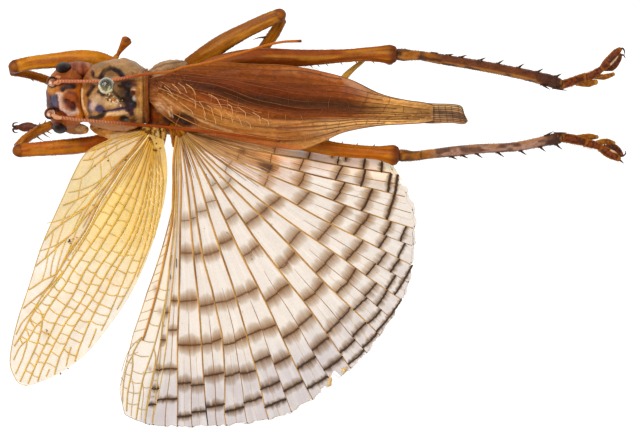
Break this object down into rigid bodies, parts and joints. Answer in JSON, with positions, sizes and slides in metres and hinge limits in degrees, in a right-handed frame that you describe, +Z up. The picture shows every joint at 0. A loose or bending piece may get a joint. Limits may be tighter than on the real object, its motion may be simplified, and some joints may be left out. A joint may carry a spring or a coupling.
{
  "type": "pinned raspy cricket specimen",
  "caption": "Dried winged raspy cricket on an insect pin, left wings spread, right wings folded, held over a small plain weighted base.",
  "frame": {"origin": "centre of the bounding box's underside, level with the underside of the base", "axes": "+Z up along the animal's back, head towards -X, its right side towards +Y, its spread left wings towards -Y"},
  "size_m": [0.062, 0.0414, 0.0286],
  "materials": {
    "cuticle": "satin dried cuticle, tan and orange-brown with dark marks",
    "leg_amber": "satin amber leg cuticle",
    "leg_dark": "satin dark brown cuticle",
    "eye": "fine faceted, dark",
    "antenna": "fine ringed thread",
    "tegmen_brown": "leathery veined wing, satin",
    "tegmen_yellow": "thin veined yellow wing, satin",
    "membrane": "clear veined membrane with brown bands",
    "pin": "worn steel with a clear yellow-green head",
    "base": "plain matt white paint"
  },
  "bodies": {
    "root": {"head": "cuticle", "pronotum": "cuticle", "pterothorax": "cuticle", "abdomen_front": "cuticle", "abdomen_rear": "cuticle", "coxa_fore_left": "cuticle", "coxa_fore_right": "cuticle", "coxa_mid_left": "cuticle", "coxa_mid_right": "cuticle", "coxa_hind_left": "cuticle", "coxa_hind_right": "cuticle", "femur_fore_left": "leg_amber", "femur_fore_right": "leg_amber", "femur_mid_left": "leg_amber", "femur_mid_right": "leg_amber", "femur_hind_left": "leg_amber", "femur_hind_right": "leg_amber", "cercus_left": "leg_amber", "cercus_right": "leg_amber", "palp_left": "leg_amber", "palp_right": "leg_amber", "tibia_fore_left": "leg_dark", "tibia_fore_right": "leg_dark", "tibia_mid_left": "leg_dark", "tibia_mid_right": "leg_dark", "tibia_hind_left": "leg_dark", "tibia_hind_right": "leg_dark", "tarsus_fore_left": "leg_dark", "tarsus_fore_right": "leg_dark", "tarsus_mid_left": "leg_dark", "tarsus_mid_right": "leg_dark", "tarsus_hind_left": "leg_dark", "tarsus_hind_right": "leg_dark", "mandibles": "leg_dark", "eye_left": "eye", "eye_right": "eye", "antenna_left": "antenna", "antenna_right": "antenna", "tegmen_right": "tegmen_brown", "hindwing_right": "tegmen_brown", "tegmen_left": "tegmen_yellow", "hindwing_left": "membrane", "pin": "pin", "stand_base": "base"}
  },
  "joints": []
}
